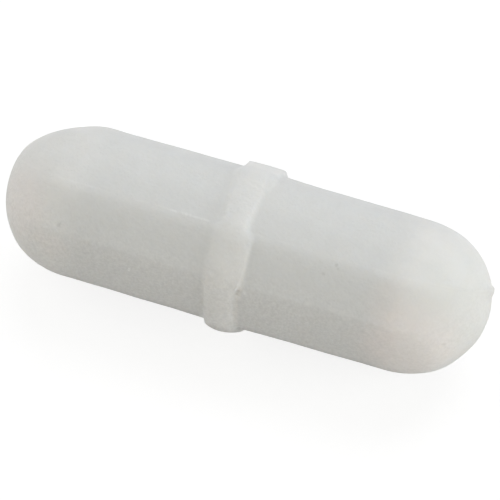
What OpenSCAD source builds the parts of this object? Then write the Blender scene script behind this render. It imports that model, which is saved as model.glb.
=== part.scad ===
// Magnetic stir bar: an eight-sided PTFE jacket moulded round a bar magnet, with a
// pivot ring at its middle and vaulted ends. Millimetres. +X runs along the bar, +Z is
// up, and the origin lies under the centre of the bar, on the surface that it rests on.

/* [Bar] */
// Overall length
bar_l = 25.4; // [20:0.2:50]
// Width across the level and upright flats, at the middle
flats_w = 7.38; // [6.6:0.02:8]
// Width across the slanting flats, at the middle
slants_w = 7.6; // [7:0.02:8.2]
// Draft of the flats, each way from the ring, in degrees
draft = 0.36; // [0:0.02:0.6]
// How far the eight long corners are eased towards the axis
corner_ease = 0.05; // [0.02:0.01:0.15]

/* [Ends] */
// Length of each domed end
dome_l = 4.26; // [4.1:0.02:5.5]
// How much smaller the nose's radius is than half the width of the narrowest faces there
nose_ease = 0.24; // [0.1:0.02:0.8]
// Width of the small flat at the very tip
tip_w = 0.7; // [0.4:0.05:1.2]

/* [Pivot ring] */
// Width of the ring at its foot
ring_w = 2.24; // [1.8:0.02:3]
// How far the ring stands out of the flats
ring_h = 0.34; // [0.3:0.02:0.6]
// Lean of the ring's two flanks, in degrees
flank = 20; // [14:1:30]
// Rounding of the ring's two shoulders
shoulder_r = 0.24; // [0.1:0.02:0.28]
// Fillet where a flank meets a flat
cove_r = 0.14; // [0.06:0.02:0.2]

/* [Magnet] */
// Diameter of the bar magnet
magnet_d = 4.8; // [3:0.1:6]
// Length of the bar magnet
magnet_l = 16; // [10:0.5:20]
// Chamfer round each end of the magnet
magnet_chamfer = 0.3; // [0.1:0.05:0.6]
// Clearance between the magnet and the jacket, all round
magnet_gap = 0.02; // [0.01:0.01:0.05]

/* [Mould marks] */
// Width of the flash nub left on the parting line, at one end
nub_w = 0.44; // [0.2:0.02:0.8]
// Height of the flash nub
nub_h = 0.15; // [0.05:0.01:0.3]

/* [Hidden] */

half_l = bar_l / 2;
half_flat = flats_w / 2;
half_slant = slants_w / 2;
// A sharp long corner: its distance from the nearer flat's middle, from the axis, and its angle
corner_side = half_slant * sqrt(2) - half_flat;
corner_reach = norm([half_flat, corner_side]);
corner_turn = atan2(corner_side, half_flat);
// Length of a fillet's tangent for each unit of its radius, on a leaning flank
tangent = tan((90 - flank) / 2);
// Half the stretch that carries the ring, and half the stretch between the domes
ring_half = ring_w / 2 + cove_r * tangent;
body_half = half_l - dome_l;
// How far a flat has come in where the dome begins
draft_drop = (body_half - ring_half) * tan(draft);
nose_r = min(half_flat, half_slant) - draft_drop - nose_ease;
// The bar lies on the lowest flat of its ring
axis_z = half_flat + ring_h;
// Thickness that passes right through the bar and its ring
through_w = 2 * (corner_reach + ring_h);
// The parting plane runs along two long corners, at this distance from the axis
parting_r = (half_flat - corner_side) / sqrt(2);
// The nub's foot is sunk this far, so that it grows out of the round nose
nub_foot = 0.05;
// Steps along each kind of arc
shoulder_steps = 4;
cove_steps = 3;
dome_steps = 15;
round_fn = 96;

// Points along an arc, from one angle to another
function arc(centre, r, from, to, steps) =
    [for (i = [0:steps]) let (a = from + (to - from) * i / steps) centre + r * [cos(a), sin(a)]];

// The same list, last point first
function reversed(points) = [for (i = [len(points) - 1:-1:0]) points[i]];

// Shoulder, flank and foot of the ring, on a flat at half_w from the axis
function ring_side(half_w) =
    let (crest = half_w + ring_h,
         shoulder_x = ring_w / 2 - ring_h * tan(flank) - shoulder_r * tangent)
    concat(
        arc([shoulder_x, crest - shoulder_r], shoulder_r, 90, flank, shoulder_steps),
        arc([ring_half, half_w + cove_r], cove_r, 180 + flank, 270, cove_steps));

// Half width of a domed end, at u from where it begins: a wide arc leaves the flat and
// runs into the arc of the nose
function dome_width(end_w, u) =
    let (nose_x = dome_l - sqrt(nose_r * nose_r - tip_w * tip_w / 4),
         wide_r = (nose_x * nose_x + end_w * end_w - nose_r * nose_r) / (2 * (end_w - nose_r)),
         meet = nose_x + nose_r * cos(atan2(wide_r - end_w, nose_x)))
    u < meet ? end_w - wide_r + sqrt(wide_r * wide_r - u * u)
             : sqrt(nose_r * nose_r - (u - nose_x) * (u - nose_x));

// Outline of one domed end, at the same stations on every face, so that their edges meet
function dome_side(end_w) =
    [for (i = [0:dome_steps]) let (u = dome_l * sin(90 * i / dome_steps))
        [body_half + u, dome_width(end_w, u)]];

// Side outline of the whole bar, from one quarter of it
module bar_outline(half_w) {
    quarter = concat(ring_side(half_w), dome_side(half_w - draft_drop));
    polygon(concat(
        quarter,
        [for (p = reversed(quarter)) [p[0], -p[1]]],
        [for (p = quarter) [-p[0], -p[1]]],
        [for (p = reversed(quarter)) [-p[0], p[1]]]
    ));
}

// All that lies between two opposite faces of the bar, turned about its axis
module face_pair(half_w, turn) {
    rotate([turn + 90, 0, 0])
        linear_extrude(height = through_w, center = true) bar_outline(half_w);
}

// The eight flats and the eight eased corners between them, with their vaulted ends
module faceted_bar() {
    intersection() {
        face_pair(half_flat, 0);
        face_pair(half_flat, 90);
        face_pair(half_slant, 45);
        face_pair(half_slant, 135);
        intersection_for (turn = [corner_turn, -corner_turn, 90 + corner_turn, 90 - corner_turn])
            face_pair(corner_reach - corner_ease, turn);
    }
}

// Flash on the parting line, where the line crosses the nose
module flash_nub() {
    lean = acos(parting_r / nose_r);
    rotate([-45, 0, 0]) translate([half_l - nose_r, 0, 0]) rotate([0, lean, 0])
        translate([0, 0, nose_r - nub_foot])
            cylinder(h = nub_h + nub_foot, d1 = nub_w, d2 = nub_w / 3, $fn = round_fn);
}

// The magnet's form, or the hollow that holds it when it is grown by the clearance
module magnet_form(grow = 0) {
    r = magnet_d / 2 + grow;
    half = magnet_l / 2 + grow;
    rotate([0, 90, 0]) rotate_extrude($fn = round_fn) polygon([
        [0, -half], [r - magnet_chamfer, -half], [r, magnet_chamfer - half],
        [r, half - magnet_chamfer], [r - magnet_chamfer, half], [0, half]
    ]);
}

// One moulding, closed all round the magnet
module jacket() {
    color([0.88, 0.88, 0.86]) translate([0, 0, axis_z]) difference() {
        union() {
            faceted_bar();
            flash_nub();
        }
        magnet_form(magnet_gap);
    }
}

module magnet() {
    color([0.36, 0.36, 0.38]) translate([0, 0, axis_z]) magnet_form();
}

jacket();
magnet();
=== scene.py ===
"""Magnetic stir bar: the moulded skin of its jacket, the finish of its magnet, and the stage.

Lengths in the tables and in the shaping functions are millimetres, with X along the bar: left is
-X and right is +X. The turn of a point is measured in degrees about the bar's axis, from +Y at the
back towards +Z at the top, so the camera sees the turns from about 35 to 215.
"""

import math
from collections import namedtuple

import bmesh
import bpy
from bpy.props import FloatProperty, FloatVectorProperty, PointerProperty
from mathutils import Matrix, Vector, noise


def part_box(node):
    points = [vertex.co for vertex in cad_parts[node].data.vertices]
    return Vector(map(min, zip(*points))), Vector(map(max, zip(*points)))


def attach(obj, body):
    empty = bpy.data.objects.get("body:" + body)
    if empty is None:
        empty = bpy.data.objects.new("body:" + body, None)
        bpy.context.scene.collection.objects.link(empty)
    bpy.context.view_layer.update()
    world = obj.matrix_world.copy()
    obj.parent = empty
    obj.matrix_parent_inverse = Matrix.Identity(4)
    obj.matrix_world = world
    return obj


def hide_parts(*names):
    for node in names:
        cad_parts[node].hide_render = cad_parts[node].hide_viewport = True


bl_info = {
    "name": "Stir bar",
    "version": (1, 0, 0),
    "blender": (4, 5, 0),
    "location": "View3D > Sidebar > Stir bar",
    "description": "Magnetic stir bar with a moulded jacket and a pivot ring",
    "category": "Add Mesh",
}

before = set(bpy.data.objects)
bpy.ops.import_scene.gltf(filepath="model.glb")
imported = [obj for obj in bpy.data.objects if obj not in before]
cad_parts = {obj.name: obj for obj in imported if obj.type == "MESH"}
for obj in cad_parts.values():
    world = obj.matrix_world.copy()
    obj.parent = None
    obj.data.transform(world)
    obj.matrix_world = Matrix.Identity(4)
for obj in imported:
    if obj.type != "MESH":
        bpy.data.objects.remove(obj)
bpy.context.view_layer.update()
JACKET_LOW, JACKET_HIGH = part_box("jacket")
MAGNET_LOW, MAGNET_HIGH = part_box("magnet")

MM = 0.001
AXIS_Z = (JACKET_LOW.z + JACKET_HIGH.z) / 2 / MM
FACES = 8

# Columns of the skin, gathered towards the eight long corners, and less so at the tips
COLUMNS = 288
GATHER = 0.8
TIP_GATHER = 0.1
# Stations along half the bar: under the ring, along the flats and along the dome
RING_STATIONS = 44
FLAT_STATIONS = 30
DOME_STATIONS = 62
# How far from the middle of the bar the stations under the ring reach
RING_REACH = 2.1
# Points closer than this become one, and no station but the tips is slimmer than this
JOIN = 1e-5
SLIMMEST = 0.02

# Half width of the ring between the middles of its flanks, if its two edges ran straight
RING_EDGE = 1.05
# The ring's edges as moulded, at each turn in degrees: left, right, how far each flank spreads,
# and how much the crest is crowned. The two halves of the mould meet at 114.5 degrees.
RING_EDGES = (
    (24.5, -1.29, 0.82, 0.05, 0.11, -0.02),
    (33.0, -1.20, 0.83, 0.06, 0.12, -0.02),
    (45.0, -1.12, 0.85, 0.12, 0.16, -0.02),
    (65.5, -1.07, 0.89, 0.28, 0.20, 0.00),
    (76.0, -1.04, 0.82, 0.28, 0.22, 0.00),
    (90.0, -0.98, 0.75, 0.26, 0.24, 0.00),
    (97.0, -0.89, 0.71, 0.25, 0.26, 0.00),
    (103.0, -0.81, 0.69, 0.25, 0.27, 0.00),
    (110.0, -0.70, 0.62, 0.24, 0.26, 0.00),
    (113.0, -0.72, 0.65, 0.24, 0.26, 0.00),
    (116.0, -0.88, 0.90, 0.27, 0.22, 0.00),
    (120.0, -1.00, 1.03, 0.30, 0.17, 0.00),
    (135.0, -1.01, 1.05, 0.32, 0.16, 0.01),
    (148.0, -0.94, 0.97, 0.28, 0.17, 0.01),
    (155.5, -0.85, 0.87, 0.24, 0.17, 0.01),
    (168.0, -0.80, 0.67, 0.21, 0.16, 0.02),
    (180.0, -0.85, 0.64, 0.18, 0.15, 0.03),
    (192.0, -0.87, 0.63, 0.14, 0.17, 0.05),
    (204.5, -0.87, 0.90, 0.11, 0.26, 0.08),
    (214.0, -0.88, 1.08, 0.11, 0.14, 0.08),
    (225.0, -0.90, 1.06, 0.14, 0.16, 0.03),
    (245.5, -0.98, 1.02, 0.16, 0.20, 0.01),
    (270.0, -1.08, 0.95, 0.14, 0.18, 0.00),
    (294.5, -1.20, 0.88, 0.12, 0.18, 0.00),
    (335.5, -1.34, 0.81, 0.10, 0.18, 0.00),
)
# How much the ring's crest rounds off towards its flanks, and how quickly
RING_ROUND = 0.035
CREST_CURVE = 1.6
# How steep a flank is for its spread, and how much room the ring takes to die out at its reach
FLANK_STEEP = 1.5
RING_END = 0.3
# How far inside the ring's edges it begins to pass into the flats, and over what length
PASS_INSIDE = 0.15
PASS_LENGTH = 0.4
# How far out of the ring the flats are carried along in full with its edges, and then less and less
CARRY = 0.3
CARRY_FADE = 2.6
# The soft foot of the right flank at the back: its turn, its reach each way from there, its height
# and how far it runs out over the flats
FOOT_TURN = 35
FOOT_SPAN = 60
FOOT_HEIGHT = 0.05
FOOT_RUN = 0.45
# How crisp each long corner is: left of the ring, on it and right of it
CRISPNESS = (
    (24.5, 90, 90, 100),
    (65.5, 80, 34, 80),
    (114.5, 130, 26, 110),
    (155.5, 110, 15, 220),
    (204.5, 60, 60, 60),
    (245.5, 60, 50, 60),
    (294.5, 60, 50, 60),
    (335.5, 60, 60, 60),
)
# Small marks of wear and moulding, some with painted light: place along the bar, turn, reach,
# height and how much lighter. The darker dents on the ring and the two marks of no height low on
# its right side are painted shade, and the lighter marks along its left edge and on the parting
# line left of it are painted highlights
MARKS_AND_PAINTED_LIGHT = (
    (0.93, 159.2, 0.14, -0.13, -0.08),
    (0.87, 161.8, 0.11, -0.12, -0.04),
    (0.91, 171.0, 0.11, -0.10, -0.07),
    (1.22, 158.6, 0.12, 0.05, 0.075),
    (0.85, 201.0, 0.24, 0.00, -0.080),
    (0.95, 206.0, 0.26, 0.00, -0.160),
    (-0.71, 99.0, 0.10, 0.02, 0.025),
    (-0.68, 104.0, 0.10, 0.03, 0.040),
    (-0.65, 109.0, 0.10, 0.03, 0.040),
    (-0.85, 152.5, 0.14, -0.04, -0.01),
    (-0.60, 150.0, 0.12, 0.03, 0.01),
    (-10.00, 107.0, 0.14, 0.035, 0.02),
    (-9.60, 107.5, 0.12, 0.03, 0.02),
    (-8.72, 148.0, 0.10, -0.04, -0.11),
    (-8.66, 146.4, 0.08, -0.03, -0.08),
    (5.45, 119.5, 0.10, -0.04, -0.11),
    (5.58, 121.5, 0.08, -0.04, -0.08),
    (4.95, 127.8, 0.09, -0.02, -0.08),
    (-2.75, 114.4, 0.09, 0.015, 0.04),
    (-2.55, 114.4, 0.10, 0.015, 0.06),
    (-2.35, 114.4, 0.09, 0.015, 0.04),
    (11.40, 164.5, 0.12, -0.04, -0.06),
    (2.10, 168.0, 0.09, -0.03, -0.02),
    (1.95, 176.5, 0.12, -0.025, -0.01),
    (2.30, 171.5, 0.11, -0.03, -0.02),
    (-4.84, 168.5, 0.08, -0.01, 0.18),
    (-4.86, 170.5, 0.08, -0.01, 0.14),
)
# Slow unevenness of the domes: place along the bar, turn, reach and height
LUMPS = (
    (-12.30, 35.0, 1.2, 0.060),
    (-11.30, 215.0, 0.9, 0.050),
    (-12.50, 215.0, 0.6, -0.030),
    (12.30, 35.0, 0.8, -0.080),
    (12.10, 215.0, 0.9, -0.150),
)
# Where the corners begin and end to melt into the domes, from where a dome begins
MELT_LEFT = (0.5, 3.0)
MELT_RIGHT = (0.8, 3.1)
# The slimmer shoulder of the left dome: its turn, and about twelve times how deep it is worn
WORN_TURN = 35
WORN_DEPTH = 2.9
# Faces are counted by eighths of a turn: the one that has sunk, the two under the parting line, and
# how far past its own edges a face is followed, in half widths
SUNK_FACE = 1
UNDER_FACES = (3, 7)
SIDE_LIMIT = 1.3
# The parting line's flash: half its width, the stretch of the bar on which it is strong, over what
# lengths it fades in and out there, and how much of it is left elsewhere
FLASH_HALF = 0.045
FLASH_STRETCH = (-4.6, -0.9)
FLASH_FADES = (1.2, 0.4)
FLASH_REST = 0.1
# The step at the parting line: where it begins on a dome, the length on which it grows, and how
# sharp and how wide it is across the line
STEP_START = 0.4
STEP_GROWTH = 3.4
STEP_SHARP = 0.1
STEP_WIDE = 0.9
# How far inside the parting line the middle of the nub lies
NUB_INSET = 0.09
# How far round the nub, and round each mark for each unit of its reach, the skin is made finer
NUB_FINE = 0.5
MARK_FINE = 1.8
# Slow waves and quicker ripples of the skin: how many to a millimetre, how high the ripples are
# against the waves, and where each noise begins
WAVES_PER_MM = 0.42
RIPPLES_PER_MM = 1.15
RIPPLE_SHARE = 0.45
WAVE_START = Vector((3.1, 7.7, 1.3))
RIPPLE_START = Vector((9.2, 2.4, 5.8))
# Slow changes of tone, partly painted light: place from the middle of the bar, reach and tint.
# Darker spots on the domes' tops and upper backs are painted shade, lighter ones at the tips and
# low on the right dome's front are painted light, and the faint warm tints are the skin's own
TINTS_AND_PAINTED_LIGHT = (
    ((-10.6, -0.3, 3.2), 3.0, (0.957, 0.957, 0.957)),
    ((-11.2, -2.3, 1.8), 2.6, (1.042, 1.011, 1.014)),
    ((-10.3, 2.4, 2.0), 2.2, (0.976, 0.976, 0.976)),
    ((-9.3, 1.8, 3.4), 2.2, (0.970, 0.970, 0.970)),
    ((-10.9, 1.0, 2.6), 1.9, (0.984, 0.984, 0.984)),
    ((-11.6, 1.4, 1.4), 2.3, (0.980, 0.980, 0.980)),
    ((10.4, 2.4, 2.0), 2.4, (0.968, 0.972, 0.972)),
    ((9.2, 1.0, 3.5), 2.2, (0.984, 0.982, 0.982)),
    ((11.8, 1.3, 1.8), 2.0, (0.978, 0.984, 0.982)),
    ((12.5, -0.9, 0.2), 1.7, (1.026, 1.032, 1.024)),
    ((-9.0, -3.7, 0.7), 1.3, (1.022, 1.004, 0.998)),
    ((8.4, -2.7, 2.8), 1.6, (1.012, 0.996, 0.990)),
    ((9.8, -3.7, 0.4), 3.4, (1.086, 1.036, 1.028)),
    ((11.0, -0.3, 3.2), 2.6, (0.982, 0.990, 0.988)),
)
# Painted light and painted shade: how much lighter the skin is painted along its top and on the
# flash, and how much darker, below 0, at its upper and lower rims
PAINTED_TOP_LIGHT = 0.032
PAINTED_FLASH_LIGHT = 0.12
UPPER_RIM_SHADE = -0.03
LOWER_RIM_SHADE = -0.12
# The way from the axis to the upper rim, in Y and Z, and how far the ring's rims stand further out
RIM_WAY = (0.817, 0.576)
RING_RIM = 0.35
# How much of a warm patch shows
WARM_SHARE = 0.15
# The distant softboxes: the way to each from the bar, its strength, colour and width in degrees
LAMPS = (
    ("back_softbox", (0.0, 0.7, 0.7), 1.49, (0.950, 0.963, 1.0), 57),
    ("front_softbox", (0.0, -0.95, 0.3), 1.11, (1.0, 0.972, 0.925), 57),
    ("right_softbox", (0.98, 0.0, 0.13), 2.58, (0.990, 1.0, 0.978), 60),
    ("left_softbox", (-0.83, 0.0, 0.52), 1.13, (0.993, 1.0, 0.963), 66),
)
# How far off the lamps are drawn, and the floor's radius, in metres
LAMP_AWAY = 0.3
FLOOR_R = 2.0
# How far under the bar the floor lies
FLOOR_GAP = 0.005
# The floor as the camera sees it: its own light, and its grey, which takes the shadow
FLOOR_GLOW = 0.80
FLOOR_GREY = 0.32

# Where a point of a surface is: its place from the middle of the bar, whole and in parts
Where = namedtuple("Where", "place x y z")


def smooth(t):
    """Eases from 0 to 1 while t goes from 0 to 1."""
    t = min(max(t, 0.0), 1.0)
    return t * t * (3 - 2 * t)


def mix(a, b, t):
    """Goes from a to b while t goes from 0 to 1."""
    return a + (b - a) * t


def turn_of(point):
    """The turn of a point about the bar's axis."""
    return math.degrees(math.atan2(point.z, point.y))


def point_at(x, radius, turn):
    """The point at x along the bar, a radius and a turn."""
    angle = math.radians(turn)
    return Vector((x, radius * math.cos(angle), radius * math.sin(angle)))


def turn_apart(a, b):
    """How far turn a lies past turn b, between -180 and 180 degrees."""
    return (a - b + 180) % 360 - 180


def round_table(rows, turn):
    """The values of a table of turns, read between its rows along smooth curves that never swing
    past them."""
    count = len(rows)
    for i, this in enumerate(rows):
        after = rows[(i + 1) % count]
        span = (after[0] - this[0]) % 360
        past = (turn - this[0]) % 360
        if past <= span:
            before, beyond = rows[i - 1], rows[(i + 2) % count]
            spans = (this[0] - before[0]) % 360, span, (beyond[0] - after[0]) % 360
            return [glide(values, spans, past / span)
                    for values in zip(before[1:], this[1:], after[1:], beyond[1:])]
    raise ValueError("a table of turns has to go all the way round")


def glide(values, spans, t):
    """Value at t between the middle two of four values, without swinging past either."""
    slopes = [(b - a) / span for a, b, span in zip(values, values[1:], spans)]
    start, end = (2 * a * b / (a + b) * spans[1] if a * b > 0 else 0.0
                  for a, b in zip(slopes, slopes[1:]))
    low, high = values[1:3]
    return (low + start * t + (3 * (high - low) - 2 * start - end) * t * t
            + (start + end - 2 * (high - low)) * t ** 3)


class BarForm:
    """The bar's form, worked out from the sizes that a user sets."""

    def __init__(self, sizes):
        self.half_l = sizes.bar_length / 2 / MM
        self.half_widths = sizes.flats_width / 2 / MM, sizes.slants_width / 2 / MM
        self.slope = math.tan(sizes.draft)
        self.crown = sizes.flats_crown / MM
        self.sink = sizes.slant_sink / MM
        self.under_out = sizes.under_flats / MM
        self.under_ease = sizes.under_ease / MM
        self.ring_h = sizes.ring_height / MM
        self.dome_l = sizes.dome_length / MM
        self.body_half = self.half_l - self.dome_l
        self.fullness = sizes.dome_fullness
        self.round_r = sizes.dome_width / 2 / MM
        self.nose_x = self.half_l - self.round_r
        self.nose_lift = sizes.nose_lift / MM
        self.nose_shift = sizes.nose_shift / MM
        self.ridge_h = sizes.parting_ridge / MM
        self.step_h = sizes.parting_step / MM
        self.wave_h = sizes.waviness / MM
        self.nub_h = sizes.nub_height / MM
        self.nub_w = sizes.nub_width / MM
        self.find_corners()
        self.find_nub()
        self.lumps = [(self.round_at(x, turn), reach, rise) for x, turn, reach, rise in LUMPS]

    def find_corners(self):
        """Works out where the sharp long corners lie, and the parting plane along two of them."""
        half_flat, half_slant = self.half_widths
        flat_side = half_slant * math.sqrt(2) - half_flat
        slant_side = (half_flat - flat_side) / math.sqrt(2)
        self.half_sides = flat_side, slant_side
        self.corner_turn = math.degrees(math.atan2(flat_side, half_flat))
        self.parting_r = slant_side

    def find_nub(self):
        """Works out where the parting line crosses the nose."""
        narrowed = (self.parting_r / self.round_r) ** self.fullness
        x = self.body_half + self.dome_l * (1 - narrowed) ** (1 / self.fullness)
        across = (self.parting_r - NUB_INSET) / math.sqrt(2)
        self.nub_at = Vector((x, across, across))

    def stations(self):
        """Places along half the bar, from its middle to its tip."""
        ring = [RING_REACH * i / RING_STATIONS for i in range(RING_STATIONS)]
        flats = [mix(RING_REACH, self.body_half, i / FLAT_STATIONS) for i in range(FLAT_STATIONS)]
        dome = [self.body_half + self.dome_l * math.sin(math.pi / 2 * i / DOME_STATIONS)
                for i in range(DOME_STATIONS + 1)]
        return ring + flats + dome

    def dome_share(self, x):
        """How far x lies along a dome: 0 at its foot and 1 at its tip."""
        return min(max(abs(x) - self.body_half, 0.0) / self.dome_l, 1.0)

    def taper(self, x):
        """How much of its width the bar has kept at x along a dome."""
        return (1 - self.dome_share(x) ** self.fullness) ** (1 / self.fullness)

    def round_at(self, x, turn):
        """The point of the round bar at x and a turn."""
        return point_at(x, self.round_r * self.taper(x), turn)

    def face_reach(self, half_w, x):
        """How far a face stands from the axis at x, before the corners melt into the dome."""
        along = min(abs(x), self.body_half)
        return (half_w - max(along - RING_EDGE, 0.0) * self.slope) * self.taper(x)

    def ring_shift(self, along, edges):
        """How far a station is carried along the bar to follow the ring's edges."""
        left, right = edges[0] + RING_EDGE, edges[1] - RING_EDGE
        if abs(along) > RING_EDGE:
            fade = 1 - smooth((abs(along) - RING_EDGE - CARRY) / CARRY_FADE)
            return (left if along < 0 else right) * fade
        return mix(left, right, (along + RING_EDGE) / (2 * RING_EDGE))

    def ring_lift(self, along, turn, edges):
        """How far the ring stands out of the flats, at a station of the straight ring."""
        if abs(along) > RING_REACH:
            return 0.0
        _, _, spread_left, spread_right, crown = edges
        left = self.flank(-RING_EDGE - along, spread_left)
        right = self.flank(along - RING_EDGE, spread_right)
        fall = (crown + RING_ROUND) * CREST_CURVE * along * along
        lift = (self.ring_h + crown - fall) * left * right
        foot = FOOT_HEIGHT * smooth(1 - abs(turn_apart(turn, FOOT_TURN)) / FOOT_SPAN)
        lift += foot * (1 - right) * math.exp(-max(along - RING_EDGE, 0.0) / FOOT_RUN)
        return lift * (1 - smooth((abs(along) - RING_REACH + RING_END) / RING_END))

    def flank(self, outside, spread):
        """How much of the ring's height is left at a distance outside the middle of a flank."""
        return 0.5 - 0.5 * math.tanh(outside / spread * FLANK_STEEP)

    def on_ring(self, along):
        """1 on the ring and 0 on the flats."""
        return 1 - smooth((abs(along) - RING_EDGE + PASS_INSIDE) / PASS_LENGTH)

    def crispness(self, along, turn):
        """Power of the blend between two faces: the higher, the sharper their corner."""
        left, ring, right = round_table(CRISPNESS, turn)
        return mix(left if along < 0 else right, ring, self.on_ring(along))

    def melt(self, x):
        """How far the corners have melted into the dome at x: 0 is faceted and 1 is round."""
        begin, end = MELT_LEFT if x < 0 else MELT_RIGHT
        return smooth((abs(x) - self.body_half - begin) / (end - begin))

    def gathered(self, along, turn):
        """Carries an even turn towards the nearest long corner, as an angle in radians."""
        gather = mix(GATHER, TIP_GATHER, smooth((abs(along) - self.body_half) / self.dome_l * 1.1))
        angle = math.radians(turn)
        angle += gather / FACES * math.sin(FACES * angle)
        return angle + math.radians(self.corner_turn - 22.5) * math.sin(4 * angle)

    def face_rise(self, face, side, along):
        """How far a face stands out past a plane one. Its edges lie at a side of -1 and 1."""
        off_ring = 1 - self.on_ring(along)
        rise = self.crown * off_ring * (1 - side * side)
        if face == SUNK_FACE:
            rise -= self.sink * off_ring
        if face in UNDER_FACES:
            rise += self.under(-side if face == UNDER_FACES[0] else side)
        return rise

    def under(self, side):
        """How much further out the two flats under the parting line stand, with the soft bend that
        takes them in to it, at a side of 1."""
        return self.under_out - self.under_ease * min(max(side * 2 - 1, 0.0), 1.0) ** 2.5

    def faceted_radius(self, along, x, angle, lift):
        """How far from the axis the faces stand, blended where they meet in a corner."""
        taper = self.taper(x)
        reaches = [self.face_reach(half_w, x) + lift for half_w in self.half_widths]
        leans = []
        for face in range(FACES):
            off = angle - math.radians(45 * face)
            if math.cos(off) > 0:
                reach = reaches[face % 2]
                side = reach * math.tan(off) / self.half_sides[face % 2]
                side = min(max(side, -SIDE_LIMIT), SIDE_LIMIT)
                leans.append(math.cos(off) / (reach + self.face_rise(face, side, along) * taper))
        steepest = max(leans)
        power = self.crispness(along, math.degrees(angle))
        total = sum((lean / steepest) ** power for lean in leans)
        return 1 / (steepest * total ** (1 / power))

    def place(self, along, turn):
        """The point of the skin for a station and an even turn."""
        angle = self.gathered(along, turn)
        turn = math.degrees(angle)
        edges = round_table(RING_EDGES, turn)
        x = along + self.ring_shift(along, edges)
        faceted = self.faceted_radius(along, x, angle, self.ring_lift(along, turn, edges))
        radius = mix(faceted, self.round_r * self.taper(x), self.melt(x)) - self.worn(x, turn)
        if abs(along) >= self.half_l:
            radius = 0.0
        at = point_at(x, radius, turn)
        lift = self.nose_lift * (1 - self.taper(x)) ** 2 / math.sqrt(2)
        at += Vector((0, lift, lift))
        at += self.outward(at) * (self.ridge(at) + self.waves(at) + self.nub(at)
                                  + self.lump(at) + self.mark(x, turn))
        at.x += self.nose_shift * self.dome_share(x) ** 2
        return at

    def outward(self, at):
        """Which way is out of the skin near a point."""
        core = min(max(at.x, -self.nose_x), self.nose_x)
        return (at - Vector((core, 0, 0))).normalized()

    def worn(self, x, turn):
        """How much slimmer than the other the left dome has come out, on one of its shoulders."""
        if x > 0:
            return 0.0
        share = self.dome_share(x)
        facing = max(math.cos(math.radians(turn_apart(turn, WORN_TURN))), 0.0) ** 2
        return WORN_DEPTH * share ** 2.2 * (1 - share) ** 1.5 * facing

    def ridge(self, at):
        """Flash along the line where the two halves of the mould meet, and the small step that
        they leave on the right dome."""
        off = (at.y + at.z) / math.sqrt(2) - self.parting_r
        (begin, end), (fade_in, fade_out) = FLASH_STRETCH, FLASH_FADES
        strong = smooth((at.x - begin) / fade_in) * smooth((end - at.x) / fade_out)
        flash = self.ridge_h * mix(FLASH_REST, 1, strong) * math.exp(-(off / FLASH_HALF) ** 2)
        if at.x < self.body_half or off < -2 * STEP_SHARP:
            return flash
        grown = smooth((at.x - self.body_half - STEP_START) / STEP_GROWTH)
        step = smooth((off + STEP_SHARP) / (2 * STEP_SHARP)) * math.exp(-off / STEP_WIDE)
        return flash + self.step_h * grown * step

    def waves(self, at):
        """Slow unevenness left by the moulding."""
        slow = noise.noise(at * WAVES_PER_MM + WAVE_START)
        quick = noise.noise(at * RIPPLES_PER_MM + RIPPLE_START)
        return self.wave_h * (slow + RIPPLE_SHARE * quick)

    def lump(self, at):
        """Slow rises and hollows that make each dome a little different."""
        return sum(rise * math.exp(-((at - centre).length / reach) ** 2)
                   for centre, reach, rise in self.lumps)

    def mark(self, x, turn):
        """Small dents and bumps left by wear and by the mould."""
        height = 0.0
        for at_x, at_turn, reach, rise, _ in MARKS_AND_PAINTED_LIGHT:
            if abs(x - at_x) < 2 * reach:
                round_off = math.radians(turn_apart(turn, at_turn)) * self.round_r * self.taper(x)
                height += rise * math.exp(-((x - at_x) ** 2 + round_off ** 2) / reach ** 2)
        return height

    def nub(self, at):
        """The small pip of flash where the parting line crosses one nose."""
        away = (at - self.nub_at).length / (self.nub_w / 2)
        return self.nub_h * math.exp(-1.4 * away * away) * (1 - smooth((away - 1) / 0.8))


def jacket_mesh(form):
    """A chain of points along the bar, spun about its axis and then drawn to the moulded form."""
    bm = bmesh.new()
    spin_chain(bm, form)
    refine(bm, form)
    for v in bm.verts:
        v.co = (form.place(v.co.x, turn_of(v.co)) + Vector((0, 0, AXIS_Z))) * MM
    bmesh.ops.recalc_face_normals(bm, faces=bm.faces[:])
    for f in bm.faces:
        f.smooth = True
    mesh = bpy.data.meshes.new("jacket_skin")
    bm.to_mesh(mesh)
    bm.free()
    return mesh


def spin_chain(bm, form):
    """A plain round bar with the skin's stations and columns, closed at both tips."""
    half = form.stations()
    points = []
    for x in [-x for x in reversed(half[1:])] + half:
        at_tip = abs(x) == half[-1]
        r = 0.0 if at_tip else max(form.face_reach(form.half_widths[0], x), SLIMMEST)
        points.append(bm.verts.new((x, r, 0)))
    for a, b in zip(points, points[1:]):
        bm.edges.new((a, b))
    bmesh.ops.spin(bm, geom=bm.verts[:] + bm.edges[:], cent=(0, 0, 0), axis=(1, 0, 0),
                   angle=2 * math.pi, steps=COLUMNS, use_merge=True)
    bmesh.ops.remove_doubles(bm, verts=bm.verts[:], dist=JOIN)


def refine(bm, form):
    """Splits the faces round the nub and the small marks, so that they have enough of them."""
    places = [(form.nub_at, NUB_FINE)]
    places += [(form.round_at(x, turn), MARK_FINE * reach) for x, turn, reach, _, _ in MARKS_AND_PAINTED_LIGHT]
    for at, reach in places:
        near = [e for e in bm.edges if all(is_near(v.co, at, reach) for v in e.verts)]
        bmesh.ops.subdivide_edges(bm, edges=near, cuts=1, use_grid_fill=True)


def is_near(point, at, reach):
    """Whether a point of the round bar is within reach of another, along it and round it."""
    if abs(point.x - at.x) >= reach:
        return False
    turn_reach = math.degrees(reach / math.hypot(at.y, at.z))
    return abs(turn_apart(turn_of(point), turn_of(at))) < turn_reach


# ---------------------------------------------------------------- nodes

def add_node(tree, kind, **settings):
    """Adds a node with its own settings, such as its operation."""
    node = tree.nodes.new(kind)
    for key, value in settings.items():
        setattr(node, key, value)
    return node


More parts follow.
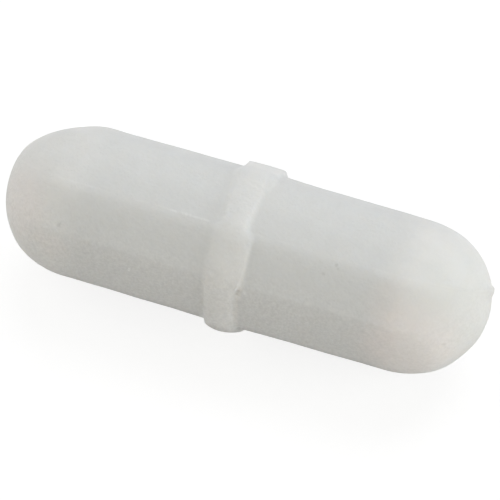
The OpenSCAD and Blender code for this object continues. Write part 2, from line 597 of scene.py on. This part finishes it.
def feed(tree, node, **inputs):
    """Sets or links a node's inputs, by name with spaces written as underscores, or by number as
    i0, i1 and so on."""
    for key, value in inputs.items():
        by_number = key[0] == "i" and key[1:].isdigit()
        socket = node.inputs[int(key[1:]) if by_number else key.replace("_", " ")]
        if isinstance(value, bpy.types.NodeSocket):
            tree.links.new(value, socket)
        else:
            socket.default_value = value
    return node


def calc(tree, operation, *values):
    """The result of a Math node."""
    node = add_node(tree, "ShaderNodeMath", operation=operation)
    for i, value in enumerate(values):
        feed(tree, node, **{f"i{i}": value})
    return node.outputs[0]


def product(tree, result, *others):
    """Values multiplied together."""
    for other in others:
        result = calc(tree, "MULTIPLY", result, other)
    return result


def total(tree, result, *others):
    """Values added together."""
    for other in others:
        result = calc(tree, "ADD", result, other)
    return result


def inverted(tree, mask):
    """1 where a mask is 0, and 0 where it is 1."""
    return calc(tree, "SUBTRACT", 1.0, mask)


def ramp(tree, value, low, high, to_low=0.0, to_high=1.0, kind="SMOOTHSTEP"):
    """Goes from one result to another while a value goes from low to high."""
    node = add_node(tree, "ShaderNodeMapRange", interpolation_type=kind)
    feed(tree, node, Value=value, From_Min=low, From_Max=high, To_Min=to_low, To_Max=to_high)
    return node.outputs["Result"]


def fade(tree, length, low, high, to_low=0.0, to_high=1.0):
    """A ramp along a length, between two places in millimetres."""
    return ramp(tree, length, low * MM, high * MM, to_low, to_high)


def blend(tree, factor, a, b, kind="MIX"):
    """Colour b laid over colour a."""
    node = add_node(tree, "ShaderNodeMix", data_type="RGBA", blend_type=kind)
    feed(tree, node, i0=factor, i6=a, i7=b)
    return node.outputs[2]


def noise_at(tree, where, scale, detail=2.0, rough=0.5):
    """Cloudy noise between 0 and 1, with its scale in clouds to a metre."""
    node = add_node(tree, "ShaderNodeTexNoise")
    feed(tree, node, Vector=where, Scale=scale, Detail=detail, Roughness=rough)
    return node.outputs["Fac"]


def new_group(name, inputs, outputs):
    """A node group with its sockets, and its input and output nodes."""
    tree = bpy.data.node_groups.new(name, "ShaderNodeTree")
    for label, kind, default in inputs:
        socket = tree.interface.new_socket(label, in_out="INPUT", socket_type=kind)
        if default is not None:
            socket.default_value = default
    for label, kind in outputs:
        tree.interface.new_socket(label, in_out="OUTPUT", socket_type=kind)
    return tree, tree.nodes.new("NodeGroupInput").outputs, tree.nodes.new("NodeGroupOutput")


def use_group(tree, group, **inputs):
    """The outputs of a node group placed in a material."""
    node = tree.nodes.new("ShaderNodeGroup")
    node.node_tree = group
    return feed(tree, node, **inputs).outputs


def fine_grain():
    """Grain of a surface: a fine height, and a slower mottle between 0 and 1."""
    found = bpy.data.node_groups.get("fine_grain")
    if found:
        return found
    tree, given, out = new_group(
        "fine_grain",
        [("Vector", "NodeSocketVector", None), ("Grain", "NodeSocketFloat", 8000.0),
         ("Mottle", "NodeSocketFloat", 1500.0)],
        [("Height", "NodeSocketFloat"), ("Mottle", "NodeSocketFloat")])
    fine = noise_at(tree, given["Vector"], given["Grain"], 3.0, 0.6)
    slow = noise_at(tree, given["Vector"], given["Mottle"], 3.0, 0.55)
    feed(tree, out, Height=fine, Mottle=slow)
    return tree


def fine_scuffs():
    """Short scratches in scattered places, as a mask."""
    found = bpy.data.node_groups.get("fine_scuffs")
    if found:
        return found
    tree, given, out = new_group(
        "fine_scuffs",
        [("Vector", "NodeSocketVector", None), ("Spacing", "NodeSocketFloat", 300.0),
         ("Amount", "NodeSocketFloat", 0.5)],
        [("Scuffs", "NodeSocketFloat")])
    masks = [scuffs_one_way(tree, given, turn) for turn in (0.3, 1.9)]
    feed(tree, out, Scuffs=calc(tree, "MAXIMUM", *masks))
    return tree


def scuffs_one_way(tree, given, turn):
    """Scratches that all run one way: thin lines of a stretched noise, in patches."""
    turned = add_node(tree, "ShaderNodeMapping")
    feed(tree, turned, Vector=given["Vector"], Rotation=(turn, turn * 0.7, turn * 1.3),
         Scale=(1.0, 0.06, 0.06))
    lines = noise_at(tree, turned.outputs[0], product(tree, given["Spacing"], 14.0), 1.0, 0.4)
    off = calc(tree, "ABSOLUTE", calc(tree, "SUBTRACT", lines, 0.5))
    line = ramp(tree, off, 0.0, 0.012, 1.0, 0.0)
    least = calc(tree, "SUBTRACT", 0.78, product(tree, given["Amount"], 0.2))
    patches = ramp(tree, noise_at(tree, given["Vector"], given["Spacing"], 1.0), least, 0.8)
    return product(tree, line, patches)


def new_material(name):
    """A material with an empty Principled BSDF, its tree and the shader."""
    material = bpy.data.materials.new(name)
    material.use_nodes = True
    tree = material.node_tree
    tree.nodes.clear()
    shader = add_node(tree, "ShaderNodeBsdfPrincipled")
    out = add_node(tree, "ShaderNodeOutputMaterial")
    tree.links.new(shader.outputs[0], out.inputs["Surface"])
    return material, tree, shader


def bar_position(tree):
    """Object position measured from the middle of the bar."""
    coords = add_node(tree, "ShaderNodeTexCoord").outputs["Object"]
    centred = add_node(tree, "ShaderNodeMapping")
    feed(tree, centred, Vector=coords, Location=(0, 0, -AXIS_Z * MM))
    parts = add_node(tree, "ShaderNodeSeparateXYZ")
    feed(tree, parts, Vector=centred.outputs[0])
    return Where(centred.outputs[0], *parts.outputs)


def spot(tree, place, centre, reach):
    """1 near a centre, fading to 0 at a reach from it, both in millimetres."""
    away = add_node(tree, "ShaderNodeVectorMath", operation="DISTANCE")
    feed(tree, away, i0=place, i1=centre * MM)
    return fade(tree, away.outputs["Value"], reach * 0.3, reach, 1.0, 0.0)


def on_round_bar(tree, at, radius):
    """A place on the skin, carried in or out to a round bar of a given radius."""
    flat = add_node(tree, "ShaderNodeCombineXYZ")
    feed(tree, flat, Y=at.y, Z=at.z)
    unit = add_node(tree, "ShaderNodeVectorMath", operation="NORMALIZE")
    feed(tree, unit, i0=flat.outputs[0])
    along = add_node(tree, "ShaderNodeCombineXYZ")
    feed(tree, along, X=at.x)
    wrapped = add_node(tree, "ShaderNodeVectorMath", operation="MULTIPLY_ADD")
    feed(tree, wrapped, i0=unit.outputs[0], i1=(radius * MM,) * 3, i2=along.outputs[0])
    return wrapped.outputs[0]


# ---------------------------------------------------------------- the jacket's material

def over_magnet(tree, at):
    """1 where the magnet lies behind the skin, fading to 0 past its ragged ends."""
    ragged = calc(tree, "SUBTRACT", noise_at(tree, at.place, 500.0), 0.5)
    along = total(tree, calc(tree, "ABSOLUTE", at.x), product(tree, ragged, 1.2 * MM))
    return fade(tree, along, 7.2, 9.6, 1.0, 0.0)


def ring_cover(tree, at):
    """How much of the magnet's grey the ring's thicker wall hides: least at its left edge, its
    right edge and its top, and most low on its front."""
    skewed = calc(tree, "MULTIPLY_ADD", at.y, 0.056, at.x)
    cover = total(tree, fade(tree, skewed, -1.35, -0.9, 0.0, 0.75),
                  fade(tree, skewed, -0.9, 0.2, 0.0, 0.33))
    wider = product(tree, fade(tree, at.z, 0.2, 2.2), fade(tree, at.z, 3.25, 3.6, 1.0, 0.0))
    right_side = calc(tree, "MULTIPLY_ADD", wider, -0.28 * MM, skewed)
    return product(tree, cover, fade(tree, right_side, 0.52, 0.85, 1.0, 0.0),
                   fade(tree, at.z, 2.8, 3.8, 1.0, 0.55), fade(tree, at.z, 1.0, 2.4, 1.3, 1.0))


def skin_colour(tree, colours, at):
    """Clear white, greyer over the magnet, with faint warm patches in the domes."""
    core = over_magnet(tree, at)
    grey = product(tree, core, inverted(tree, ring_cover(tree, at)))
    colour = blend(tree, grey, (*colours.jacket, 1), (*colours.over_magnet, 1))
    warm = ramp(tree, noise_at(tree, at.place, 330.0), 0.45, 0.7)
    warm = product(tree, warm, inverted(tree, core), WARM_SHARE)
    return blend(tree, warm, colour, (*colours.warm_patch, 1))


def lay_tints_and_painted_light(tree, colour, at):
    """A colour with the slow tints laid over it: painted shade on the domes' tops and upper backs,
    painted light at their tips and low on the right dome, and warm tints of the skin's own.
    """
    for centre, reach, tint in TINTS_AND_PAINTED_LIGHT:
        tinted = blend(tree, 1.0, colour, (*tint, 1), "MULTIPLY")
        near = spot(tree, at.place, Vector(centre), reach)
        colour = blend(tree, near, colour, tinted)
    return colour


def painted_top_light_mask(tree, at):
    """1 on the top flat, somewhat behind its middle, where light is painted."""
    return product(tree, fade(tree, at.y, -1.0, 0.3), fade(tree, at.y, 0.9, 1.7, 1.0, 0.0),
                   fade(tree, at.z, 2.8, 3.5))


def rim_shade(tree, at):
    """Painted shade: how much the skin darkens, below 0, towards its upper rim and its lower rim.
    """
    across = calc(tree, "MULTIPLY_ADD", at.y, RIM_WAY[0], product(tree, at.z, RIM_WAY[1]))
    on_ring = fade(tree, calc(tree, "ABSOLUTE", at.x), 1.0, 1.2, 1.0, 0.0)
    out = calc(tree, "MULTIPLY_ADD", on_ring, -RING_RIM * MM, calc(tree, "ABSOLUTE", across))
    upper = product(tree, fade(tree, out, 3.3, 3.95, 0.0, UPPER_RIM_SHADE),
                    fade(tree, across, -0.5, 0.5))
    lower = product(tree, fade(tree, out, 3.74, 3.97, 0.0, LOWER_RIM_SHADE),
                    fade(tree, across, -0.5, 0.5, 1.0, 0.0))
    return total(tree, upper, lower)


def painted_flash_light_mask(tree, form, at):
    """1 on the broken line of flash, where light is painted, but faint away from the stretch on
    which it is strong.
    """
    off = product(tree, total(tree, at.y, at.z), math.sqrt(0.5))
    off = calc(tree, "ABSOLUTE", calc(tree, "SUBTRACT", off, form.parting_r * MM))
    broken = ramp(tree, noise_at(tree, at.place, 900.0), 0.35, 0.65)
    return product(tree, fade(tree, off, 0.02, 0.07, 1.0, 0.0), broken,
                   fade(tree, at.x, -4.6, -3.4, 0.2, 1.0), fade(tree, at.x, -1.5, -1.0, 1.0, 0.2))


def mark_tints_and_painted_light(tree, tone, form, at):
    """A tone made lighter or darker at each small mark: painted shade in the ring's dents and low
    on its right side, painted highlights along its left edge and on the parting line, and the other
    marks' own tone.
    """
    wrapped = on_round_bar(tree, at, form.round_r)
    for x, turn, reach, _, lighter in MARKS_AND_PAINTED_LIGHT:
        near = spot(tree, wrapped, point_at(x, form.round_r, turn), 1.3 * reach)
        tone = calc(tree, "MULTIPLY_ADD", near, lighter, tone)
    return tone


def skin_tone_and_painted_light(tree, form, at, grain, pebble):
    """How light each speck of the skin is against its colour, about 1, as a grey: its grain and
    mottle, with painted light along its top and on the flash, painted shade at its rims, and the
    marks' tints, partly painted light.
    """
    grit = calc(tree, "SUBTRACT", total(tree, grain["Height"], pebble), 1.0)
    grit = product(tree, grit, fade(tree, at.x, 7.0, 10.5, 1.0, 0.6))
    tone = calc(tree, "MULTIPLY_ADD", grit, fade(tree, at.z, 0.8, 3.2, 0.16, 0.03),
                ramp(tree, grain["Mottle"], 0.3, 0.7, 0.988, 1.010, "LINEAR"))
    # Painted light along the top of the bar
    tone = calc(tree, "MULTIPLY_ADD", painted_top_light_mask(tree, at), PAINTED_TOP_LIGHT, tone)
    # Painted shade towards the upper and lower rims
    tone = total(tree, tone, rim_shade(tree, at))
    # Painted light on the flash along the parting line
    tone = calc(tree, "MULTIPLY_ADD", painted_flash_light_mask(tree, form, at), PAINTED_FLASH_LIGHT, tone)
    tone = mark_tints_and_painted_light(tree, tone, form, at)
    grey = add_node(tree, "ShaderNodeCombineColor")
    feed(tree, grey, Red=tone, Green=tone, Blue=tone)
    return grey.outputs[0]


def skin_bump(tree, at, grain, pebble, scuffs):
    """The normal of the pebbled skin, calmer towards its top and on the right dome."""
    height = calc(tree, "MULTIPLY_ADD", pebble, 2.0, grain["Height"])
    height = calc(tree, "SUBTRACT", height, product(tree, scuffs, 0.6))
    calm = product(tree, fade(tree, at.z, 0.8, 3.4, 1.0, 0.7),
                   fade(tree, at.x, 7.0, 10.0, 1.0, 0.5))
    bump = add_node(tree, "ShaderNodeBump")
    feed(tree, bump, Strength=0.8, Distance=0.03 * MM, Height=product(tree, height, calm))
    return bump.outputs[0]


def jacket_material(colours, form):
    """Waxy white fluoropolymer, darker and cooler where the magnet lies behind it."""
    material, tree, shader = new_material("moulded_ptfe")
    at = bar_position(tree)
    grain = use_group(tree, fine_grain(), Vector=at.place, Grain=9000.0, Mottle=1300.0)
    scuffs = use_group(tree, fine_scuffs(), Vector=at.place, Spacing=260.0, Amount=0.5)["Scuffs"]
    pebble = noise_at(tree, at.place, 4500.0, 1.0)
    # The slow tints, with painted shade and painted light on the domes
    colour = lay_tints_and_painted_light(tree, skin_colour(tree, colours, at), at)
    colour = blend(tree, 1.0, colour, skin_tone_and_painted_light(tree, form, at, grain, pebble), "MULTIPLY")
    rough = total(tree, ramp(tree, grain["Mottle"], 0.3, 0.7, 0.42, 0.52, "LINEAR"),
                  product(tree, scuffs, 0.15))
    feed(tree, shader, Base_Color=colour, Roughness=rough,
         Normal=skin_bump(tree, at, grain, pebble, scuffs), IOR=1.35, Specular_IOR_Level=0.15,
         Subsurface_Weight=0.8, Subsurface_Radius=(1.0, 0.95, 0.88), Subsurface_Scale=1.8 * MM)
    return material


# ---------------------------------------------------------------- the other materials

def turning_marks(tree, at):
    """Fine lines round the magnet, left by its grinding."""
    turned = add_node(tree, "ShaderNodeMapping")
    feed(tree, turned, Vector=at.place, Scale=(1.0, 0.03, 0.03))
    return noise_at(tree, turned.outputs[0], 9000.0, 2.0, 0.7)


def cast_pits(tree, at):
    """1 in the few small pits of the casting."""
    cells = add_node(tree, "ShaderNodeTexVoronoi")
    feed(tree, cells, Vector=at.place, Scale=1400.0)
    return ramp(tree, cells.outputs["Distance"], 0.06, 0.16, 1.0, 0.0)


def worn_ends(tree, at, mottle):
    """1 on the rubbed edges round the magnet's two ends, broken up by the mottle."""
    half_l, half_d = (MAGNET_HIGH.x - MAGNET_LOW.x) / 2, (MAGNET_HIGH.z - MAGNET_LOW.z) / 2
    radius = calc(tree, "SQRT", total(tree, product(tree, at.y, at.y), product(tree, at.z, at.z)))
    reach = total(tree, calc(tree, "SUBTRACT", calc(tree, "ABSOLUTE", at.x), half_l),
                  calc(tree, "SUBTRACT", radius, half_d), product(tree, mottle, 0.3 * MM))
    return fade(tree, reach, -0.35, 0.05)


def magnet_material(colours):
    """Ground magnet alloy: dark metal with fine turning marks and a few pits."""
    material, tree, shader = new_material("ground_magnet_alloy")
    at = bar_position(tree)
    grain = use_group(tree, fine_grain(), Vector=at.place, Grain=6000.0, Mottle=900.0)
    scuffs = use_group(tree, fine_scuffs(), Vector=at.place, Spacing=400.0, Amount=0.8)["Scuffs"]
    marks, pits = turning_marks(tree, at), cast_pits(tree, at)
    colour = blend(tree, ramp(tree, grain["Mottle"], 0.35, 0.65), (*colours.magnet, 1),
                   (*[c * 0.8 for c in colours.magnet], 1))
    colour = blend(tree, product(tree, worn_ends(tree, at, grain["Mottle"]), 0.6), colour,
                   (*[min(c * 1.5, 1) for c in colours.magnet], 1))
    colour = blend(tree, product(tree, pits, 0.7), colour, (*colours.pits, 1))
    rough = total(tree, ramp(tree, marks, 0.3, 0.7, 0.32, 0.5, "LINEAR"),
                  product(tree, pits, 0.3))
    height = calc(tree, "SUBTRACT", calc(tree, "MULTIPLY_ADD", marks, 0.7, grain["Height"]),
                  total(tree, pits, product(tree, scuffs, 0.5)))
    bump = add_node(tree, "ShaderNodeBump")
    feed(tree, bump, Strength=0.4, Distance=0.02 * MM, Height=height)
    feed(tree, shader, Base_Color=colour, Roughness=rough, Normal=bump.outputs[0], Metallic=0.9)
    return material


def seen_directly(tree):
    """1 for rays that show the background, 0 for rays that carry light to the object."""
    path = add_node(tree, "ShaderNodeLightPath").outputs
    seen = calc(tree, "MAXIMUM", path["Is Camera Ray"], path["Is Glossy Ray"])
    return calc(tree, "MAXIMUM", seen, path["Is Transmission Ray"])


def floor_material(colours):
    """Pale paper that fades to white where nothing shades it, and keeps a soft shadow."""
    material, tree, shader = new_material("paper_sweep")
    seen = seen_directly(tree)
    colour = blend(tree, seen, (*colours.floor, 1), (FLOOR_GREY, FLOOR_GREY, FLOOR_GREY, 1))
    place = add_node(tree, "ShaderNodeTexCoord").outputs["Object"]
    fibre = ramp(tree, noise_at(tree, place, 900.0, 3.0), 0.3, 0.7, 0.8, 0.9, "LINEAR")
    feed(tree, shader, Base_Color=colour, Roughness=fibre, Specular_IOR_Level=0.0,
         Emission_Color=(1, 1, 1, 1), Emission_Strength=product(tree, seen, FLOOR_GLOW))
    return material


# ---------------------------------------------------------------- settings

class StirBarSizes(bpy.types.PropertyGroup):
    """Sizes of the jacket."""

    bar_length: FloatProperty(
        name="Bar length", description="Overall length of the bar",
        default=JACKET_HIGH.x - JACKET_LOW.x, subtype="DISTANCE", unit="LENGTH")
    flats_width: FloatProperty(
        name="Flats width", description="Width across the level and upright flats",
        default=7.38 * MM, subtype="DISTANCE", unit="LENGTH")
    slants_width: FloatProperty(
        name="Slants width", description="Width across the slanting flats",
        default=7.6 * MM, subtype="DISTANCE", unit="LENGTH")
    draft: FloatProperty(
        name="Draft", description="Lean of the flats, each way from the ring",
        default=math.radians(0.36), subtype="ANGLE", unit="ROTATION")
    dome_length: FloatProperty(
        name="Dome length", description="Length of each domed end",
        default=4.26 * MM, subtype="DISTANCE", unit="LENGTH")
    flats_crown: FloatProperty(
        name="Flats crown", description="How far the middle of each flat stands out past its edges",
        default=0.13 * MM, subtype="DISTANCE", unit="LENGTH")
    dome_width: FloatProperty(
        name="Dome width",
        description="Width across the round part of the domes, run out to their foot",
        default=7.92 * MM, subtype="DISTANCE", unit="LENGTH")
    dome_fullness: FloatProperty(
        name="Dome fullness",
        description="2 makes the domes' outline an ellipse, and more is fuller", default=2.118)
    ring_height: FloatProperty(
        name="Ring height", description="How far the ring stands out of the flats",
        default=(JACKET_HIGH.z - JACKET_LOW.z) / 2 - 3.69 * MM, subtype="DISTANCE", unit="LENGTH")
    parting_ridge: FloatProperty(
        name="Parting ridge", description="Height of the flash along the parting line",
        default=0.008 * MM, subtype="DISTANCE", unit="LENGTH")
    parting_step: FloatProperty(
        name="Parting step", description="Step between the two halves of the mould at one nose",
        default=0.06 * MM, subtype="DISTANCE", unit="LENGTH")
    nose_lift: FloatProperty(
        name="Nose lift",
        description="How far the noses' tips sit off the axis, to the parting line",
        default=0.12 * MM, subtype="DISTANCE", unit="LENGTH")
    nose_shift: FloatProperty(
        name="Nose shift", description="How far both noses sit along the bar, towards the nub",
        default=0.06 * MM, subtype="DISTANCE", unit="LENGTH")
    under_flats: FloatProperty(
        name="Flats under the parting line",
        description="How much further out the two slanting flats under the parting line stand",
        default=0.075 * MM, subtype="DISTANCE", unit="LENGTH")
    under_ease: FloatProperty(
        name="Bend under the parting line",
        description="How far those two flats bend in to the parting line",
        default=0.075 * MM, subtype="DISTANCE", unit="LENGTH")
    slant_sink: FloatProperty(
        name="Slant sink", description="How far the slanting flat at the back has sunk",
        default=0.045 * MM, subtype="DISTANCE", unit="LENGTH")
    nub_width: FloatProperty(
        name="Nub width", description="Width of the flash nub on one nose",
        default=0.74 * MM, subtype="DISTANCE", unit="LENGTH")
    nub_height: FloatProperty(
        name="Nub height", description="Height of the flash nub",
        default=0.27 * MM, subtype="DISTANCE", unit="LENGTH")
    waviness: FloatProperty(
        name="Waviness", description="Height of the slow unevenness left by moulding",
        default=0.02 * MM, subtype="DISTANCE", unit="LENGTH")


class StirBarColours(bpy.types.PropertyGroup):
    """Colours of the bar and of the floor."""

    jacket: FloatVectorProperty(
        name="Jacket", description="Colour of the thick, clear parts of the jacket",
        default=(0.86, 0.86, 0.84), subtype="COLOR", min=0, max=1)
    over_magnet: FloatVectorProperty(
        name="Over the magnet", description="Colour of the jacket where the magnet lies behind it",
        default=(0.786, 0.792, 0.780), subtype="COLOR", min=0, max=1)
    warm_patch: FloatVectorProperty(
        name="Warm patches", description="Colour of the faint warm patches in the domes",
        default=(0.86, 0.83, 0.80), subtype="COLOR", min=0, max=1)
    magnet: FloatVectorProperty(
        name="Magnet", description="Colour of the magnet's metal",
        default=(0.36, 0.36, 0.38), subtype="COLOR", min=0, max=1)
    pits: FloatVectorProperty(
        name="Pits", description="Colour of the small pits in the magnet",
        default=(0.06, 0.055, 0.05), subtype="COLOR", min=0, max=1)
    floor: FloatVectorProperty(
        name="Floor", description="Colour of the floor as the object sees it",
        default=(0.415, 0.405, 0.388), subtype="COLOR", min=0, max=1)


class StirBarStage(bpy.types.PropertyGroup):
    """Light and camera."""

    world_light: FloatProperty(
        name="World light", description="Strength of the even light from all round", default=0.01)
    lamp_light: FloatProperty(
        name="Lamp light", description="Strength of the softboxes together", default=1.0)
    azimuth: FloatProperty(
        name="Azimuth", description="Camera's turn round the bar",
        default=math.radians(19.951), subtype="ANGLE", unit="ROTATION")
    elevation: FloatProperty(
        name="Elevation", description="Camera's height above the horizon",
        default=math.radians(53.072), subtype="ANGLE", unit="ROTATION")
    distance: FloatProperty(
        name="Distance", description="Camera's distance from the middle of the bar",
        default=266.56 * MM, subtype="DISTANCE", unit="LENGTH")
    lens: FloatProperty(
        name="Lens", description="Camera's focal length in millimetres", default=382.3)
    shift: FloatVectorProperty(
        name="Shift", description="Camera's shift, sideways and up, as a share of the view's width",
        default=(0.0078, -0.0048), size=2)


# ---------------------------------------------------------------- operators

class STIRBAR_OT_jacket(bpy.types.Operator):
    """Make the moulded jacket with its flats, domes, pivot ring and flash"""

    bl_idname = "stir_bar.jacket"
    bl_label = "Jacket"

    def execute(self, context):
        form = BarForm(context.scene.stir_bar_sizes)
        mesh = jacket_mesh(form)
        mesh.materials.append(jacket_material(context.scene.stir_bar_colours, form))
        skin = bpy.data.objects.new("jacket_skin", mesh)
        context.scene.collection.objects.link(skin)
        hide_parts("jacket")
        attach(skin, "root")
        return {"FINISHED"}


class STIRBAR_OT_magnet(bpy.types.Operator):
    """Give the magnet inside the jacket its ground metal finish"""

    bl_idname = "stir_bar.magnet"
    bl_label = "Magnet"

    def execute(self, context):
        metal = magnet_material(context.scene.stir_bar_colours)
        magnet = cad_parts["magnet"]
        if not magnet.material_slots:
            raise RuntimeError("the magnet has no material slot")
        for slot in magnet.material_slots:
            slot.material = metal
        return {"FINISHED"}


class STIRBAR_OT_stage(bpy.types.Operator):
    """Set out the floor, the lamps, the world and the camera"""

    bl_idname = "stir_bar.stage"
    bl_label = "Stage"

    def execute(self, context):
        scene, stage = context.scene, context.scene.stir_bar_stage
        self.floor(scene)
        for name, towards, light, colour, width in LAMPS:
            self.lamp(scene, name, Vector(towards), light * stage.lamp_light, colour, width)
        self.world(scene, stage)
        self.camera(scene, stage)
        scene.view_settings.view_transform = "Standard"
        return {"FINISHED"}

    def floor(self, scene):
        """A wide disc of paper just under the bar."""
        bm = bmesh.new()
        bmesh.ops.create_circle(bm, cap_ends=True, segments=96, radius=FLOOR_R)
        bmesh.ops.translate(bm, verts=bm.verts[:], vec=(0, 0, JACKET_LOW.z - FLOOR_GAP * MM))
        mesh = bpy.data.meshes.new("floor")
        bm.to_mesh(mesh)
        bm.free()
        mesh.materials.append(floor_material(scene.stir_bar_colours))
        floor = bpy.data.objects.new("floor", mesh)
        scene.collection.objects.link(floor)

    def lamp(self, scene, name, towards, light, colour, width):
        """A softbox far away, as wide as its angle makes it look."""
        data = bpy.data.lights.new(name, "SUN")
        data.energy = light
        data.angle = math.radians(width)
        data.color = colour
        lamp = bpy.data.objects.new(name, data)
        lamp.location = towards.normalized() * LAMP_AWAY
        lamp.rotation_euler = towards.to_track_quat("Z", "Y").to_euler()
        scene.collection.objects.link(lamp)

    def world(self, scene, stage):
        """A white background that gives the bar hardly any light."""
        world = bpy.data.worlds.new("studio")
        world.use_nodes = True
        tree = world.node_tree
        tree.nodes.clear()
        strength = ramp(tree, seen_directly(tree), 0.0, 1.0, stage.world_light, 1.0, "LINEAR")
        back = add_node(tree, "ShaderNodeBackground")
        feed(tree, back, Color=(1, 1, 1, 1), Strength=strength)
        out = add_node(tree, "ShaderNodeOutputWorld")
        tree.links.new(back.outputs[0], out.inputs["Surface"])
        scene.world = world

    def camera(self, scene, stage):
        """A long lens that looks down on the bar from in front of it."""
        data = bpy.data.cameras.new("camera")
        data.lens = stage.lens
        data.sensor_width = 36.0
        data.shift_x, data.shift_y = stage.shift
        data.clip_start = 0.01
        data.clip_end = 10.0
        camera = bpy.data.objects.new("camera", data)
        a, e = stage.azimuth, stage.elevation
        back = Vector((math.sin(a) * math.cos(e), -math.cos(a) * math.cos(e), math.sin(e)))
        camera.location = Vector((0, 0, AXIS_Z * MM)) + back * stage.distance
        camera.rotation_euler = (-back).to_track_quat("-Z", "Y").to_euler()
        scene.collection.objects.link(camera)
        scene.camera = camera


class STIRBAR_PT_panel(bpy.types.Panel):
    """Lists the pieces of the stir bar with their sizes and colours"""

    bl_idname = "STIRBAR_PT_panel"
    bl_label = "Stir bar"
    bl_space_type = "VIEW_3D"
    bl_region_type = "UI"
    bl_category = "Stir bar"

    def draw(self, context):
        for operator in OPERATORS:
            self.layout.operator(operator.bl_idname)
        for name in GROUPS:
            group = getattr(context.scene, name)
            box = self.layout.box()
            for key in group.bl_rna.properties.keys():
                if key not in ("rna_type", "name"):
                    box.prop(group, key)


GROUPS = {
    "stir_bar_sizes": StirBarSizes,
    "stir_bar_colours": StirBarColours,
    "stir_bar_stage": StirBarStage,
}
OPERATORS = (STIRBAR_OT_jacket, STIRBAR_OT_magnet, STIRBAR_OT_stage)
CLASSES = (*GROUPS.values(), *OPERATORS, STIRBAR_PT_panel)


def register():
    """Adds the settings, the operators and the panel to Blender."""
    for cls in CLASSES:
        bpy.utils.register_class(cls)
    for name, group in GROUPS.items():
        setattr(bpy.types.Scene, name, PointerProperty(type=group))


def unregister():
    """Takes them out again."""
    for name in GROUPS:
        delattr(bpy.types.Scene, name)
    for cls in reversed(CLASSES):
        bpy.utils.unregister_class(cls)


def main():
    """Makes the bar and its stage."""
    register()
    bpy.ops.stir_bar.jacket()
    bpy.ops.stir_bar.magnet()
    bpy.ops.stir_bar.stage()


if __name__ == "__main__":
    main()
